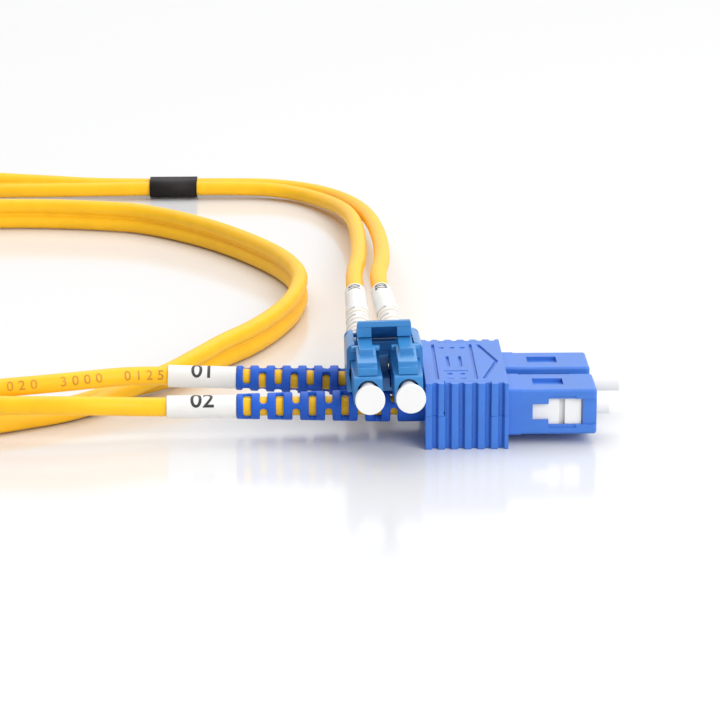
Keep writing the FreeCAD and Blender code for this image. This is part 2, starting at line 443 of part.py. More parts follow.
def lc_ferrule_train(side):
    turn(piece("lc_%s_ferrule" % side, LC[side]),
         [("-lc_ferrule_rear", "0"), ("-lc_ferrule_rear", "lc_ferrule_diameter/2"),
          ("lc_ferrule_reach-lc_ferrule_chamfer", "lc_ferrule_diameter/2"),
          ("lc_ferrule_reach", "lc_ferrule_diameter/2-lc_ferrule_chamfer"), ("lc_ferrule_reach", "0")])
    turn(piece("lc_%s_flange" % side, LC[side]),
         [("-lc_seat_rear", "lc_ferrule_diameter/2"), ("-lc_seat_rear", "lc_flange_diameter/2"),
          ("-lc_seat_rear-lc_flange_length", "lc_flange_diameter/2"), ("-lc_seat_rear-lc_flange_length", "lc_flange_tube/2"),
          ("-lc_flange_rear", "lc_flange_tube/2"), ("-lc_flange_rear", "buffer_diameter/2+buffer_gap"),
          ("-lc_ferrule_rear", "buffer_diameter/2+buffer_gap"), ("-lc_ferrule_rear", "lc_ferrule_diameter/2")])
    spring("lc_%s_spring" % side, LC[side], "lc_seat_rear+lc_flange_length", "lc_spring_rear", "lc_wire", "lc_spring_mean", "lc_spring_turns")
    turn(piece("lc_%s_backbone" % side, LC[side]),
         [("-lc_spring_rear", "lc_tail_bore/2"), ("-lc_spring_rear", "lc_tail_plug/2"), ("-lc_body_rear", "lc_tail_plug/2"),
          ("-lc_body_rear", "lc_shoulder/2"), ("-lc_body_rear-lc_shoulder_length", "lc_shoulder/2"),
          ("-lc_body_rear-lc_shoulder_length", "lc_tail_diameter/2"), ("-lc_tail_rear", "lc_tail_diameter/2"),
          ("-lc_tail_rear", "lc_tail_bore/2")])
    turn(piece("lc_%s_crimp" % side, LC[side]),
         [("-lc_crimp_front", "lc_tail_diameter/2"), ("-lc_crimp_front", "lc_crimp_diameter/2"), ("-lc_crimp_rear", "lc_crimp_diameter/2"),
          ("-lc_crimp_rear", "jacket_diameter/2"), ("-lc_tail_rear", "jacket_diameter/2"), ("-lc_tail_rear", "lc_tail_diameter/2")])
    turn(piece("lc_%s_buffer" % side, LC[side]),
         [("-lc_tail_rear", "0"), ("-lc_tail_rear", "buffer_diameter/2"), ("-lc_ferrule_rear-buffer_room", "buffer_diameter/2"),
          ("-lc_ferrule_rear-buffer_room", "0")])


def lc_cap(side):
    """Dust cap: a disc on a tube that fills the nose bore."""
    turn(piece("lc_%s_cap" % side, LC[side]),
         [("-lc_cap_rear", "lc_ferrule_diameter/2+lc_cap_gap"), ("-lc_cap_rear", "lc_cap_diameter/2"),
          ("lc_cap_reach-lc_cap_disc_length", "lc_cap_diameter/2"), ("lc_cap_reach-lc_cap_disc_length", "lc_cap_disc/2"),
          ("lc_cap_reach", "lc_cap_disc/2"), ("lc_cap_reach", "0"), ("lc_cap_reach-lc_cap_end", "0"),
          ("lc_cap_reach-lc_cap_end", "lc_ferrule_diameter/2+lc_cap_gap")])


for side in ("left", "right"):
    lc_body(side)
    lc_latch(side)
    lc_ferrule_train(side)
    boot("lc_%s_boot" % side, LC_BOOT[side], "lc_")
    marker("lc_%s_marker" % side, LC_BOOT[side], "lc_")
    lc_cap(side)


# ---- LC clip and its trigger ---------------------------------------------------------
body = piece("lc_clip", LC_BASE)
trough = [("lc_clip_width/2", "-lc_clip_drop"), ("lc_clip_width/2", "lc_clip_top"), ("lc_trough_half", "lc_clip_top"),
          ("lc_trough_half", "lc_body/2+lc_clip_gap"), ("lc_cavity_half", "lc_body/2+lc_clip_gap"),
          ("lc_cavity_half", "-lc_body/2-lc_clip_gap"), ("lc_rib_half", "-lc_body/2-lc_clip_gap"),
          ("lc_rib_half", "-lc_body/2+lc_rib_height")]
walls = pad(body, sketch(body, "YZ_Plane", [trough + [("-(%s)" % y, z) for y, z in reversed(trough)]], at="-lc_clip_rear"),
            "lc_clip_rear-lc_clip_front")
blend(body, walls, "lc_clip_round",
      lambda middle, way: abs(way.x) > 0.9 and middle.z > SIZES["lc_clip_top"] - 0.01 and abs(middle.y) > SIZES["lc_clip_width"] / 2 - 0.01)
pad(body, sketch(body, "YZ_Plane", [box("-lc_clip_width/2+0.2", "lc_clip_width/2-0.2", "-lc_clip_drop+0.2", "lc_wall_top")],
                 at="-lc_clip_rear"), "lc_clip_rear-lc_clip_wall")
pad(body, sketch(body, "YZ_Plane", [box("-lc_spine_half", "lc_spine_half", "-lc_clip_drop+0.2", "lc_body/2")], at="-lc_clip_rear"),
    "lc_clip_rear-lc_rib_rear")
pocket(body, sketch(body, "YZ_Plane", rounds=[("lc_pitch/2", "0", "lc_hole"), ("-lc_pitch/2", "0", "lc_hole")],
                    at="-lc_clip_front"), "lc_clip_rear-lc_clip_front+1")
pocket(body, sketch(body, "XZ_Plane", rounds=[("-pivot_back", "pivot_height", "pivot_pin+2*pivot_gap")]), "2*lc_clip_width", both=True)

body = piece("lc_trigger", LC_BASE)
plate = [("-trigger_front", "trigger_top"), ("-trigger_front-trigger_bar", "trigger_top"),
         ("-pivot_back-trigger_barrel/3", "pivot_height+trigger_barrel/3"), ("-pivot_back+trigger_barrel/3", "pivot_height-trigger_barrel/3"),
         ("-trigger_front-trigger_bar", "trigger_top-trigger_bar-trigger_plate/2"), ("-trigger_front", "trigger_top-trigger_bar")]
pad(body, sketch(body, "XZ_Plane", [plate]), "trigger_width", both=True)
pad(body, sketch(body, "XZ_Plane", rounds=[("-pivot_back", "pivot_height", "trigger_barrel")]), "trigger_width", both=True)
pad(body, sketch(body, "XZ_Plane", rounds=[("-pivot_back", "pivot_height", "pivot_pin")]), "2*pin_reach", both=True)
pad(body, sketch(body, "YZ_Plane", [box("%slc_pitch/2-foot_width/2" % sign, "%slc_pitch/2+foot_width/2" % sign,
                                        "latch_top-0.05+foot_gap", "trigger_top-trigger_bar/2") for sign in ("", "-")],
                 at="-foot_rear"), "foot_rear-foot_front")


# ---- split bands ---------------------------------------------------------------------
SC_SPLIT = Vector(-105, -2.6, 2.2)      # where the SC legs end
LC_SPLIT = Vector(-43, 168.3, 2.2)      # where the LC legs start
LEG_SPACE = Vector(0, 1.55, 0)
for name, point, start in (("split_band_sc", SC_SPLIT, "-band_length"), ("split_band_lc", LC_SPLIT, "-band_length")):
    body = piece(name, frame(*("%g" % v for v in point)))
    wrap = pad(body, sketch(body, "YZ_Plane", [box("-band_width/2", "band_width/2", "-band_height/2", "band_height/2")], at=start), "band_length")
    blend(body, wrap, "band_height/2-0.05", lambda middle, way: abs(way.x) > 0.9)

doc.recompute()


# ---- cords ---------------------------------------------------------------------------
def on_axis(name, back):
    """A point on a piece's own axis, behind its frame."""
    return pieces[name].Placement.multVec(Vector(-back, 0, 0))


def cord(name, points, diameter):
    """Round cord along straight runs joined by tangent arcs."""
    edges, radii, last = [], [], points[0]
    for before, here, after in zip(points, points[1:], points[2:]):
        into, out = here - before, after - here
        turning = into.getAngle(out)
        radius = 0.45 * min(into.Length, out.Length) / math.tan(turning / 2)
        trim = 0.45 * min(into.Length, out.Length)
        into.normalize()
        out.normalize()
        start, end = here - into * trim, here + out * trim
        inward = (out - into).normalize()
        middle = here + inward * (radius / math.cos(turning / 2) - radius)
        if (start - last).Length > 1e-6:
            edges.append(Part.LineSegment(last, start).toShape())
        edges.append(Part.Arc(start, middle, end).toShape())
        radii.append(radius)
        last = end
    edges.append(Part.LineSegment(last, points[-1]).toShape())
    path = Part.Wire(edges)
    ring = Part.Wire(Part.Circle(points[0], points[1] - points[0], diameter / 2).toShape())
    cable = doc.addObject("Part::Feature", name)
    cable.Label = name
    cable.Shape = path.makePipeShell([ring], True, True)
    pieces[name] = cable
    full = math.pi * diameter ** 2 / 4 * path.Length
    print("%s: length %.1f, volume %.4f of section x length, radii %s"
          % (name, path.Length, cable.Shape.Volume / full, " ".join("%.0f" % r for r in radii)))
    if abs(cable.Shape.Volume / full - 1) > 0.01:
        raise RuntimeError(name + ": tube volume is off")


def worth(text):
    """The number that a formula of size names comes to."""
    return float(sheet.evalExpression(bound(text)))


jacket, crimp = SIZES["jacket_diameter"], SIZES["crimp_reach"]
boot_run = worth("boot_rear-crimp_rear+marker_length") + 3   # the cord leaves the sleeve straight
cord("sc_near_leg", [on_axis("sc_near_boot", -crimp), on_axis("sc_near_boot", boot_run)] + [Vector(*p) for p in (
    (-50.5, -7.6, 5.9), (-55.5, -8.5, 6.3), (-61, -8.6, 6.4), (-68.2, -8, 6.3), (-76, -7, 6.3), (-84, -5.8, 6.0), (-91, -4.8, 4.3))]
    + [SC_SPLIT - LEG_SPACE + Vector(7, 0, 0), SC_SPLIT - LEG_SPACE], jacket)
cord("sc_far_leg", [on_axis("sc_far_crimp", worth("tail_rear")), on_axis("sc_far_crimp", worth("crimp_rear")), on_axis("sc_far_boot", boot_run)]
     + [Vector(*p) for p in ((-50.5, 4.9, 7.1), (-55, 3.6, 7.0), (-61.8, 2.1, 6.8), (-69, 1.4, 6.4), (-76, 0.6, 6.0), (-84, -0.2, 5.5),
                             (-91, -0.7, 4.1))] + [SC_SPLIT + LEG_SPACE + Vector(7, 0, 0), SC_SPLIT + LEG_SPACE], jacket)
band = Vector(SIZES["band_length"], 0, 0)
cord("zip_cord", [SC_SPLIT - band, SC_SPLIT - band - Vector(11, 0, 0)] + [Vector(*p) for p in (
    (-138, 2.2, 2.5), (-146, 12.5, 2.8), (-149.5, 27, 3.0), (-151, 45, 3.1), (-151, 66, 3.1), (-149, 86, 3.1), (-144, 104, 3.1),
    (-135, 119.5, 3.1), (-122.5, 131, 3.1), (-108, 137.5, 3.1), (-95, 140, 3.1), (-82.5, 140.1, 3.1), (-72.3, 139.8, 3.1),
    (-62, 137.7, 3.1), (-52.2, 134.7, 3.1), (-39, 121.6, 3.1), (-29.9, 107.4, 3.1), (-24, 95.2, 3.1), (-21, 83.5, 3.1),
    (-20.9, 72.3, 3.1), (-23.2, 58.2, 3.1), (-28.8, 43.1, 3.1), (-33.9, 34.6, 3.0), (-38.7, 25.6, 2.8), (-43, 20.1, 2.6),
    (-50.7, 13.2, 2.3), (-57.5, 5.4, 2.2), (-69, -1, 2.2), (-80, -7, 2.2), (-90, -11.5, 2.2), (-101, -14, 2.4), (-114, -15, 2.7),
    (-127.5, -13, 3.0), (-140.5, -7, 3.1), (-151.5, 3.5, 3.1), (-159, 18, 3.1), (-163, 36, 3.1), (-164.5, 57, 3.1), (-164, 79, 3.1),
    (-161, 101, 3.1), (-155, 122, 3.1), (-145.5, 141, 3.1), (-132, 156, 3.1), (-115, 165.5, 3.0), (-99, 169.5, 2.8),
    (-86, 169.3, 2.6), (-75, 168.9, 2.4))] + [LC_SPLIT - band - Vector(11, 0, 0), LC_SPLIT - band], SIZES["zip_diameter"])
lc_run = worth("lc_boot_rear-lc_crimp_rear+lc_marker_length") + 6
cord("lc_left_leg", [on_axis("lc_left_crimp", worth("lc_tail_rear")), on_axis("lc_left_boot", 0), on_axis("lc_left_boot", lc_run)]
     + [Vector(*p) for p in ((-11.2, 60, 10.2), (-10.1, 74, 9.0), (-9.6, 100.6, 6.5), (-9.9, 124, 4.6), (-11.6, 140, 3.3),
                             (-15.2, 152, 2.4), (-20.4, 161, 2.0), (-27, 165.7, 2.1))]
     + [LC_SPLIT - LEG_SPACE + Vector(8.5, 0, 0), LC_SPLIT - LEG_SPACE], jacket)
cord("lc_right_leg", [on_axis("lc_right_crimp", worth("lc_tail_rear")), on_axis("lc_right_boot", 0), on_axis("lc_right_boot", lc_run)]
     + [Vector(*p) for p in ((-6.9, 60, 10.3), (-5.7, 74, 9.0), (-5.4, 100.4, 6.5), (-6.4, 125, 4.6), (-8.7, 142.5, 3.3),
                             (-12.4, 155.5, 2.4), (-18, 164.6, 2.0), (-26, 169.2, 2.1))]
     + [LC_SPLIT + LEG_SPACE + Vector(8.5, 0, 0), LC_SPLIT + LEG_SPACE], jacket)

# ---- check and export ----------------------------------------------------------------
doc.recompute()
failed = [thing.Name for thing in doc.Objects if "Invalid" in thing.State or "Error" in thing.State]
failed += [name for name, thing in pieces.items() if thing.Shape.isNull() or not thing.Shape.isValid() or len(thing.Shape.Solids) != 1]
if failed:
    raise RuntimeError("these did not build: " + ", ".join(failed))
os.makedirs("parts", exist_ok=True)
for name, thing in pieces.items():
    thing.Shape.exportStep("parts/%s.step" % name)
print(len(pieces), "pieces")
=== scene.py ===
import math

import bpy
from mathutils import Matrix, Vector


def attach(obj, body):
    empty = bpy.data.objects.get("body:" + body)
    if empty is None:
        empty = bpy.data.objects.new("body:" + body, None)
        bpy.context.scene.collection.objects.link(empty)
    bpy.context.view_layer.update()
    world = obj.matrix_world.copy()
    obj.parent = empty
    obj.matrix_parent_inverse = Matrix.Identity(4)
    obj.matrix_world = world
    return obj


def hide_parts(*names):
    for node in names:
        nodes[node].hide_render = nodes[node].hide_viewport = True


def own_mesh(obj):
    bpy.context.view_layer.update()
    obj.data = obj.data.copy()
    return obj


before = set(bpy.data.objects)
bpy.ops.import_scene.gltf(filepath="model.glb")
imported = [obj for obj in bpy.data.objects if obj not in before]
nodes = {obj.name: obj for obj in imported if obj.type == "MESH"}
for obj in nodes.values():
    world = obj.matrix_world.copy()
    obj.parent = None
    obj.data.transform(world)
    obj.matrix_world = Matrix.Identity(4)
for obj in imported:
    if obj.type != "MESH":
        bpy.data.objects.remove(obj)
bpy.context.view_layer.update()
bpy.ops.object.select_all(action="DESELECT")


# ---- view -----------------------------------------------------------------------------
# A long lens, low in front of the near plug and square to its side, with the lead's
# loop behind it and the second connector lying across the boots.
look_at = Vector((-0.01121, 0, 0.0110))
azimuth, elevation, roll = math.radians(1.02), math.radians(15.81), math.radians(-0.17)
distance = 0.47884
forward = Vector((math.sin(azimuth) * math.cos(elevation), math.cos(azimuth) * math.cos(elevation),
                  -math.sin(elevation)))
level = Vector((math.cos(azimuth), -math.sin(azimuth), 0))
upright = level.cross(forward)
right = level * math.cos(roll) + upright * math.sin(roll)
top = upright * math.cos(roll) - level * math.sin(roll)
bpy.ops.object.camera_add()
camera = bpy.context.object
camera.name = "view"
camera.matrix_world = (Matrix.Translation(look_at - forward * distance)
                       @ Matrix((right, top, -forward)).transposed().to_4x4())
camera.data.sensor_width = 36
camera.data.lens = 150
camera.data.clip_start, camera.data.clip_end = 0.01, 20
bpy.context.scene.camera = camera
bpy.context.scene.view_settings.view_transform = "Standard"

# ---- light tent and table -------------------------------------------------------------
# A white tent all round, one broad soft lamp overhead and a smaller, nearer one from the
# right, over a white acrylic table that keeps a soft shadow and a faint reflection.
tent_light, tent_seen = 0.44, 1.0
tent = bpy.data.worlds.new("tent")
bpy.context.scene.world = tent
tent.use_nodes = True
cloth = tent.node_tree.nodes["Background"]
rays = tent.node_tree.nodes.new("ShaderNodeLightPath")
looked_at = tent.node_tree.nodes.new("ShaderNodeMath")
looked_at.operation = "MAXIMUM"
tent.node_tree.links.new(rays.outputs["Is Camera Ray"], looked_at.inputs[0])
tent.node_tree.links.new(rays.outputs["Is Glossy Ray"], looked_at.inputs[1])
glow = tent.node_tree.nodes.new("ShaderNodeMapRange")
glow.inputs["To Min"].default_value = tent_light
glow.inputs["To Max"].default_value = tent_seen
tent.node_tree.links.new(looked_at.outputs[0], glow.inputs["Value"])
tent.node_tree.links.new(glow.outputs["Result"], cloth.inputs["Strength"])
cloth.inputs["Color"].default_value = (1, 1, 1, 1)

for name, place, size, watts in (("overhead", (0.05, 0.38, 0.90), 1.4, 9.5),
                                 ("from_the_right", (0.42, -0.48, 0.36), 0.6, 4.6)):
    bpy.ops.object.light_add(type="AREA", location=place)
    lamp = bpy.context.object
    lamp.name = name
    lamp.data.size = size
    lamp.data.energy = watts
    lamp.rotation_euler = (-Vector(place)).to_track_quat("-Z", "Y").to_euler()

table_width, table_drop = 6, 0.00002
bpy.ops.mesh.primitive_plane_add(size=table_width, location=(0, 0, -table_drop))
table = bpy.context.object
table.name = "table"
acrylic = bpy.data.materials.new("white_acrylic")
acrylic.use_nodes = True
sheet = acrylic.node_tree.nodes["Principled BSDF"]
sheet.inputs["Base Color"].default_value = (0.78, 0.78, 0.785, 1)
sheet.inputs["Roughness"].default_value = 0.14
sheet.inputs["IOR"].default_value = 1.45
table.data.materials.append(acrylic)


# ---- SC housings ----------------------------------------------------------------------
# The blue outer grips of the two plugs, injection moulded in glass-filled nylon: satin,
# faintly grained, and eased along every edge.
def moulded(name, colour, roughness=0.38, cloud=0.05, grain=0.25, shine=1.5):
    """Plastic as it leaves the tool: a little cloudy, with a fine skin."""
    cloud_scale, skin_scale, skin_depth, polish_spread = 260, 6500, 0.00002, 0.06
    plastic = bpy.data.materials.new(name)
    plastic.use_nodes = True
    tree = plastic.node_tree
    shader = tree.nodes["Principled BSDF"]
    shader.inputs["IOR"].default_value = shine
    place = tree.nodes.new("ShaderNodeTexCoord")
    mottle = tree.nodes.new("ShaderNodeTexNoise")
    mottle.inputs["Scale"].default_value = cloud_scale
    mottle.inputs["Detail"].default_value = 4
    tree.links.new(place.outputs["Object"], mottle.inputs["Vector"])
    tint = tree.nodes.new("ShaderNodeValToRGB")
    pale, deep = tint.color_ramp.elements[1], tint.color_ramp.elements[0]
    deep.position, pale.position = 0.3, 0.7
    deep.color = [part * (1 - cloud) for part in colour] + [1]
    pale.color = [min(1, part * (1 + cloud)) for part in colour] + [1]
    tree.links.new(mottle.outputs["Fac"], tint.inputs["Fac"])
    tree.links.new(tint.outputs["Color"], shader.inputs["Base Color"])
    polish = tree.nodes.new("ShaderNodeMapRange")
    polish.inputs["To Min"].default_value = roughness - polish_spread
    polish.inputs["To Max"].default_value = roughness + polish_spread
    tree.links.new(mottle.outputs["Fac"], polish.inputs["Value"])
    tree.links.new(polish.outputs["Result"], shader.inputs["Roughness"])
    skin = tree.nodes.new("ShaderNodeTexNoise")
    skin.inputs["Scale"].default_value = skin_scale
    skin.inputs["Detail"].default_value = 3
    tree.links.new(place.outputs["Object"], skin.inputs["Vector"])
    bump = tree.nodes.new("ShaderNodeBump")
    bump.inputs["Strength"].default_value = grain
    bump.inputs["Distance"].default_value = skin_depth
    tree.links.new(skin.outputs["Fac"], bump.inputs["Height"])
    tree.links.new(bump.outputs["Normal"], shader.inputs["Normal"])
    return plastic


def dress(name, finish, edge=0.00012, flats=True, clamp=True):
    """A solid of the frame in its own shape, with its finish and its edges eased."""
    part = nodes[name]
    part.data.materials.clear()
    part.data.materials.append(finish)
    for polygon in part.data.polygons:
        polygon.use_smooth = True
    weld = part.modifiers.new("weld", "WELD")
    weld.merge_threshold = 0.000001
    if flats:
        merged = part.modifiers.new("merged", "DECIMATE")
        merged.decimate_type = "DISSOLVE"
        merged.angle_limit = math.radians(1)
    if edge:
        easing = part.modifiers.new("easing", "BEVEL")
        easing.width = edge
        easing.segments = 2
        easing.limit_method = "ANGLE"
        easing.angle_limit = math.radians(30)
        easing.use_clamp_overlap = clamp
        flow = part.modifiers.new("flow", "WEIGHTED_NORMAL")
        flow.keep_sharp = False
        flow.weight = 100


sc_blue = moulded("sc_blue_nylon", (0.042, 0.172, 0.60))
for side in ("near", "far"):
    dress("sc_%s_housing" % side, sc_blue, edge=0.00015)

# ---- SC clip --------------------------------------------------------------------------
# Two halves moulded in the same blue nylon, ribbed to grip and marked on top, that snap
# together round both housings and hold them at their pitch.
for half in ("lower", "upper"):
    dress("sc_clip_" + half, sc_blue, edge=0.0001, clamp=False)

# ---- SC boots -------------------------------------------------------------------------
# Soft strain reliefs moulded in a darker blue elastomer, slotted so that they bend, and
# pushed over the crimps.
def rub_round(name, finish):
    """A soft moulding: the frame's solid in a finer skin, its edges rubbed round."""
    boot = nodes[name]
    boot.data.materials.clear()
    boot.data.materials.append(finish)
    skin = boot.modifiers.new("skin", "REMESH")
    skin.mode = "VOXEL"
    skin.voxel_size = 0.00018
    skin.use_smooth_shade = True
    rub = boot.modifiers.new("rub", "SMOOTH")
    rub.factor = 0.5
    rub.iterations = 6
    thin = boot.modifiers.new("thin", "DECIMATE")
    thin.ratio = 0.35


boot_blue = moulded("boot_blue_elastomer", (0.006, 0.098, 0.55), roughness=0.52, cloud=0.08,
                    grain=0.3, shine=1.42)
for side in ("near", "far"):
    rub_round("sc_%s_boot" % side, boot_blue)

# ---- SC plug frames and ferrules ------------------------------------------------------
# White frames that slide in the housings, zirconia ferrules in plated flanges on coil
# springs, each spring with a mesh of its own, and crimped steel backbones behind.
white = moulded("white_plastic", (0.79, 0.79, 0.78), roughness=0.42, cloud=0.02)
zirconia = moulded("zirconia", (0.9, 0.89, 0.86), roughness=0.2, cloud=0.01, grain=0.05)
steel = moulded("plated_steel", (0.62, 0.62, 0.64), roughness=0.3, cloud=0.03, grain=0.1)
steel.node_tree.nodes["Principled BSDF"].inputs["Metallic"].default_value = 1
for side in ("near", "far"):
    dress("sc_%s_frame" % side, white)
    dress("sc_%s_buffer" % side, white, edge=0)
    dress("sc_%s_ferrule" % side, zirconia, edge=0)
    for metal in ("flange", "spring", "backbone", "crimp"):
        dress("sc_%s_%s" % (side, metal), steel, edge=0)
    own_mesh(nodes["sc_%s_spring" % side])

# ---- SC dust caps ---------------------------------------------------------------------
# Milky blind tubes of soft polythene, pushed onto the ferrules.  The far one is partly
# pulled off.
milky = moulded("milky_polythene", (0.79, 0.79, 0.79), roughness=0.35, cloud=0.01, grain=0.15)
for side in ("near", "far"):
    dress("sc_%s_cap" % side, milky, edge=0.0001)


# ---- SC marker sleeves ----------------------------------------------------------------
# White heat-shrink sleeves, shrunk onto the legs behind the boots and printed with plain
# numbers in black.
def sleeve_line(name, along):
    """The middle of a sleeve's two ends, lowest first."""
    corners = [vertex.co for vertex in nodes[name].data.vertices]
    reach = [corner[along] for corner in corners]
    middle = (min(reach) + max(reach)) / 2
    ends = []
    for way in (-1, 1):
        rim = [corner for corner in corners if way * (corner[along] - middle) > 0]
        ends.append(Vector([(min(corner[axis] for corner in rim)
                             + max(corner[axis] for corner in rim)) / 2 for axis in range(3)]))
    return ends


def print_round(name, digits, height, line, start, radius, turn, ink,
                away=Vector((0, -1, 0)), spacing=1.0, weight=0.00005):
    """Digits printed round a sleeve or a cord: they begin at 'start' along its line, and
    their middle is turned up by 'turn' from the side that faces 'away'."""
    digit_share, ink_depth = 0.7, 0.00002
    row, column = height / 12, 0.001
    bpy.ops.object.text_add()
    words = bpy.context.object
    words.name = name
    words.data.body = digits
    words.data.size = height / digit_share
    words.data.space_character = spacing
    words.data.extrude = ink_depth
    words.data.offset = weight
    words.data.resolution_u = 4
    bpy.ops.object.convert(target="MESH")
    words = bpy.context.object
    bpy.ops.object.mode_set(mode="EDIT")
    for axis, step in ((1, row), (0, column)):
        reach = max(corner[axis] for corner in words.bound_box)
        for cut in range(1, int(reach / step) + 1):
            bpy.ops.mesh.select_all(action="SELECT")
            place, across = [0, 0, 0], [0, 0, 0]
            place[axis], across[axis] = cut * step, 1
            bpy.ops.mesh.bisect(plane_co=place, plane_no=across)
    bpy.ops.mesh.select_all(action="SELECT")
    bpy.ops.mesh.remove_doubles(threshold=0.0000005)
    bpy.ops.mesh.normals_make_consistent(inside=False)
    bpy.ops.object.mode_set(mode="OBJECT")
    for vertex in words.data.vertices:
        left = start + vertex.co.x
        for here, after in zip(line, line[1:]):
            run = (after - here).length
            if left <= run or after is line[-1]:
                break
            left -= run
        along = (after - here).normalized()
        side = (away - along * away.dot(along)).normalized()
        over = along.cross(-side)
        angle = turn + (vertex.co.y - height / 2) / radius
        vertex.co = (here + along * left
                     + (side * math.cos(angle) + over * math.sin(angle)) * (radius + vertex.co.z))
    words.data.materials.clear()
    words.data.materials.append(ink)
    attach(words, "lead")
    return words


sleeve = moulded("white_shrink_sleeve", (0.80, 0.79, 0.76), roughness=0.5, cloud=0.03, grain=0.5)
black_ink = moulded("black_ink", (0.02, 0.02, 0.02), roughness=0.5, cloud=0.2)
sleeve_print_radius = 0.00181
for side, digits in (("near", "02"), ("far", "01")):
    name = "sc_%s_marker" % side
    dress(name, sleeve, edge=0.00008)
    print_round("sc_%s_number" % side, digits, height=0.0027,
                                  line=sleeve_line(name, 0), start=0.0037,
                                  radius=sleeve_print_radius, turn=math.radians(56),
                                  ink=black_ink)

# ---- SC legs --------------------------------------------------------------------------
# Two 3 mm round cords with soft yellow jackets, out of the crimps through boots and
# sleeves and down to the split.  Plain numbers are printed along the far one.
jacket = moulded("yellow_jacket", (0.97, 0.53, 0.010), roughness=0.44, cloud=0.05,
                 grain=0.3, shine=1.38)
jacket_radius = 0.0015


def run_cord(name, points):
    """The line that a cord follows.  A fourth number in a point is the cord's tilt there."""
    line = bpy.data.curves.new(name, "CURVE")
    line.dimensions = "3D"
    spline = line.splines.new("NURBS")
    spline.points.add(len(points) - 1)
    for point, place in zip(spline.points, points):
        point.co = (*place[:3], 1)
        point.tilt = math.radians(place[3]) if len(place) > 3 else 0
    spline.order_u = 3
    spline.use_endpoint_u = True
    spline.resolution_u = 12
    cord = bpy.data.objects.new(name, line)
    bpy.context.scene.collection.objects.link(cord)
    return cord


def read_line(cord):
    """The points along a cord that has no thickness yet."""
    bpy.context.view_layer.update()
    settled = cord.evaluated_get(bpy.context.evaluated_depsgraph_get())
    wire = bpy.data.meshes.new_from_object(settled)
    return [vertex.co.copy() for vertex in wire.vertices]


def jacketed(cord, node):
    """A round jacket on a cord's line, in place of the plain solid."""
    cord.data.bevel_depth = jacket_radius
    cord.data.bevel_resolution = 8
    cord.data.use_fill_caps = True
    cord.data.materials.append(jacket)
    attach(cord, "lead")
    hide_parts(node)


near_leg = run_cord("sc_near_jacket", (
    (0.0023, -0.00635, 0.00535), (-0.0390, -0.00635, 0.00535), (-0.0448, -0.00635, 0.00535),
    (-0.0505, -0.0076, 0.0059), (-0.0555, -0.0085, 0.0063), (-0.0610, -0.0086, 0.0064),
    (-0.0682, -0.0080, 0.0063), (-0.0760, -0.0070, 0.0063), (-0.0840, -0.0058, 0.0060),
    (-0.0910, -0.0048, 0.0043), (-0.0980, -0.00415, 0.0022), (-0.1050, -0.00415, 0.0022)))
jacketed(near_leg, "sc_near_leg")

far_leg = run_cord("sc_far_jacket", (
    (0.0023, 0.00635, 0.00535), (-0.0012, 0.00635, 0.00535), (-0.0397, 0.00635, 0.00669),
    (-0.0452, 0.00635, 0.00688), (-0.0505, 0.0049, 0.0071), (-0.0550, 0.0036, 0.0070),
    (-0.0618, 0.0021, 0.0068), (-0.0690, 0.0014, 0.0064), (-0.0760, 0.0006, 0.0060),
    (-0.0840, -0.0002, 0.0055), (-0.0910, -0.0007, 0.0041), (-0.0980, -0.00105, 0.0022),
    (-0.1050, -0.00105, 0.0022)))
print_from, print_to = -0.095, -0.0435
far_line = [point for point in read_line(far_leg) if print_from < point.x < print_to][::-1]
brown_ink = moulded("brown_ink", (0.58, 0.25, 0.015), roughness=0.5, cloud=0.25)
far_print = print_round("sc_far_print", "0120  020  3000  0125", height=0.0016, line=far_line,
                        start=0.0168, radius=0.00151, turn=math.radians(22), ink=brown_ink,
                        spacing=1.65, weight=0.00002)
jacketed(far_leg, "sc_far_leg")

# ---- split bands ----------------------------------------------------------------------
# Black heat-shrink, one band at each end of the zip cord, where it parts into its legs.
# Shrunk on, it keeps the web between the jackets from tearing further.
black = moulded("black_shrink", (0.010, 0.008, 0.008), roughness=0.6, cloud=0.1,
                grain=0.6, shine=1.32)
for name in ("split_band_sc", "split_band_lc"):
    dress(name, black, edge=0)

